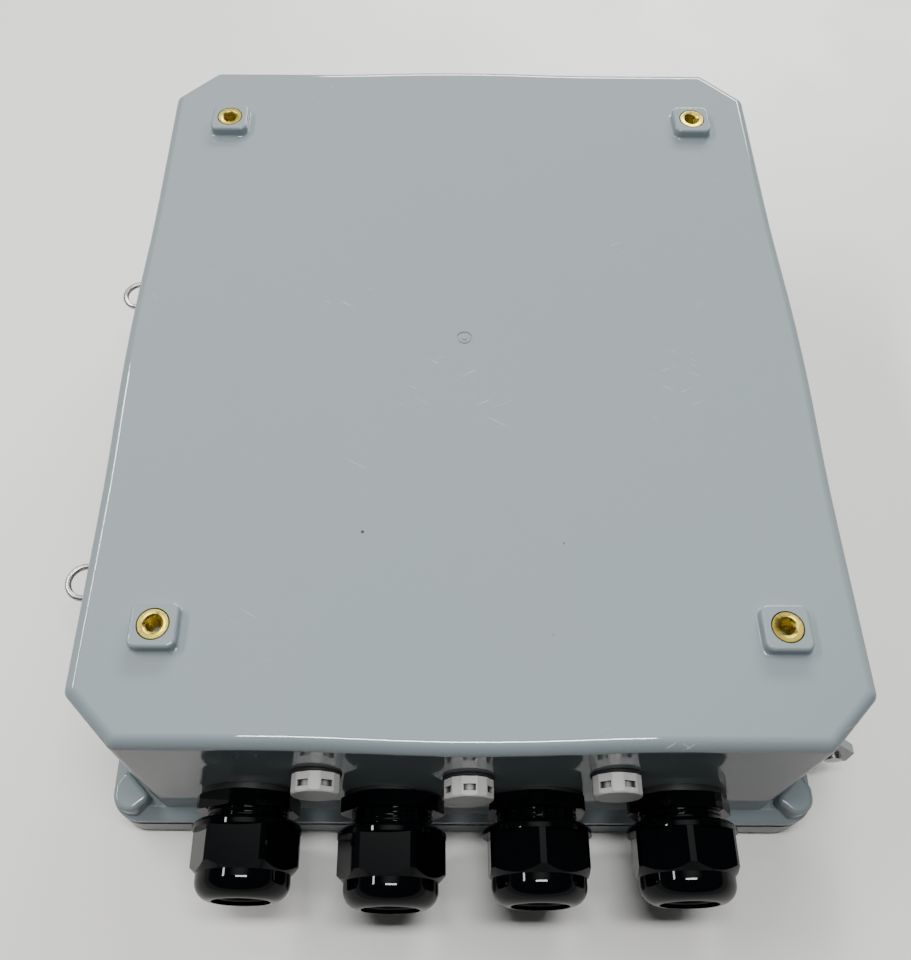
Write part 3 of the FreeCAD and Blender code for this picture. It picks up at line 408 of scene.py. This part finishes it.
def rounded_square(half, radius, steps=8):
    """(point, outward way) pairs round a square with rounded corners, anticlockwise."""
    pairs = []
    for quarter in range(4):
        for step in range(steps + 1):
            angle = math.tau / 4 * (quarter + step / steps)
            way = Vector((math.cos(angle), math.sin(angle), 0))
            corner = Vector((1, 0, 0)) if quarter in (0, 3) else Vector((-1, 0, 0))
            corner.y = 1 if quarter in (0, 1) else -1
            pairs.append((corner * (half - radius) + way * radius, way))
    return pairs


def make_boss_fillets(finishes):
    """The small hollow fillet where each insert's boss meets the back panel."""
    boss_tall, boss_wide, boss_round = 4.2 * MM, 15.6 * MM, 2.8 * MM
    loop = rounded_square(boss_wide / 2, boss_round)
    hollow = [(0, 0.7), (0.07, 0.4), (0.2, 0.2), (0.4, 0.07), (0.7, 0), (0.7, -0.1), (-0.1, -0.1),
              (-0.1, 0.7)]
    for number, top in enumerate(insert_places(), start=1):
        rows = []
        for out, up in hollow:
            foot = top + Vector((0, 0, up * MM - boss_tall))
            rows.append([foot + point + way * out * MM for point, way in loop])
        add_piece(f"boss_fillet_{number}", *woven_grid(rows), finishes["housing"], "tub", "housing")


# ---- room ------------------------------------------------------------------------------------------

def table_finish():
    """A white laminate, painted darker where glossy surfaces mirror it and far darker to the light it
    bounces, which paints shade on the box's walls and darkens its reflections.
    """
    finish = Shader("table_top", (0.92, 0.91, 0.88), 0.3, Specular_IOR_Level=0.35)
    finish.tint(finish.remap(finish.noise(3, 4), 0.35, 0.7, 0.0, 0.3), (0.90, 0.89, 0.86))
    finish.vary_roughness(finish.noise(12, 4), 0.3, 0.45)
    finish.bump(finish.noise(300, 2), 0.03, 0.0004)
    # painted reflection and painted shade: darker colour for glossy rays dims the table's mirror images,
    # and near-black colour for diffuse rays cuts its bounce light onto the box
    path = finish.node("ShaderNodeLightPath")
    finish.tint(path.outputs["Is Glossy Ray"], (0.52, 0.515, 0.50))
    finish.tint(path.outputs["Is Diffuse Ray"], (0.05, 0.05, 0.048))
    return finish.material


def make_table():
    half = 3.0  # metres
    mesh = bpy.data.meshes.new("table_top")
    corners = [(-half, -half, FLOOR), (half, -half, FLOOR), (half, half, FLOOR), (-half, half, FLOOR)]
    mesh.from_pydata(corners, [], [(0, 1, 2, 3)])
    table = bpy.data.objects.new("table_top", mesh)
    bpy.context.scene.collection.objects.link(table)
    mesh.materials.append(table_finish())


def make_world():
    world = bpy.data.worlds.new("soft_room")
    world.use_nodes = True
    tree = world.node_tree
    way = tree.nodes.new("ShaderNodeTexCoord").outputs["Generated"]
    toward = tree.nodes.new("ShaderNodeVectorMath")
    toward.operation = "DOT_PRODUCT"
    toward.inputs[1].default_value = CEILING_WAY
    tree.links.new(way, toward.inputs[0])
    height = tree.nodes.new("ShaderNodeSeparateXYZ")
    tree.links.new(way, height.inputs[0])

    def blend(amount, start, end, colour):
        """Mixes a colour in as the amount goes from start to end."""
        ramp = tree.nodes.new("ShaderNodeMapRange")
        ramp.interpolation_type = "SMOOTHSTEP"
        ramp.inputs["From Min"].default_value = start
        ramp.inputs["From Max"].default_value = end
        tree.links.new(amount, ramp.inputs["Value"])
        mix = tree.nodes.new("ShaderNodeMix")
        mix.data_type = "RGBA"
        mix.inputs[7].default_value = colour
        tree.links.new(ramp.outputs["Result"], mix.inputs[0])
        return mix

    ceiling = blend(toward.outputs["Value"], *CEILING_EDGE, ROOM_BRIGHT)
    ceiling.inputs[6].default_value = ROOM_DARK
    walls = blend(height.outputs["Z"], *WALL_FADE, ROOM_PALE)
    tree.links.new(ceiling.outputs[2], walls.inputs[6])
    tree.links.new(walls.outputs[2], tree.nodes["Background"].inputs["Color"])
    bpy.context.scene.world = world


def soft_lamp(name, place, target, width, height, power, colour=(1, 1, 1)):
    lamp = bpy.data.lights.new(name, "AREA")
    lamp.shape = "RECTANGLE"
    lamp.size, lamp.size_y = width, height
    lamp.energy = power
    lamp.color = colour
    holder = bpy.data.objects.new(name, lamp)
    bpy.context.scene.collection.objects.link(holder)
    way = Vector(target) - Vector(place)
    holder.rotation_euler = way.to_track_quat("-Z", "Y").to_euler()
    holder.location = place


def make_lights():
    soft_lamp("left_window", (-1.12, 0.45, 1.34), (0, 0.2, 0), 1.2, 0.13, 19, (1, 0.995, 0.98))
    soft_lamp("back_window", (0.5, 1.9, 0.95), (0, 0, 0), 1.6, 0.4, 46)
    soft_lamp("ceiling_tube", (0.02, -0.17, 1.2), (0.02, -0.17, 0), 0.6, 0.1, 10.5)


def make_camera():
    """The view from above the cable end, with the lens centred a little left of and below the box."""
    camera = bpy.data.cameras.new("camera")
    camera.sensor_width = 36
    camera.lens = 38.692
    camera.shift_x = 0.02917
    camera.shift_y = -0.05494
    holder = bpy.data.objects.new("camera", camera)
    holder.location = (-0.01434, -0.23784, 0.31357)
    holder.rotation_euler = (0.55589, -0.00348, 0.00401)
    bpy.context.scene.collection.objects.link(holder)
    bpy.context.scene.camera = holder


make_camera()
finishes = make_finishes()
paint_nodes(finishes)
make_inserts(finishes)
make_gland_threads(finishes)
make_seal_lips(finishes)
make_boss_fillets(finishes)
make_table()
make_world()
make_lights()
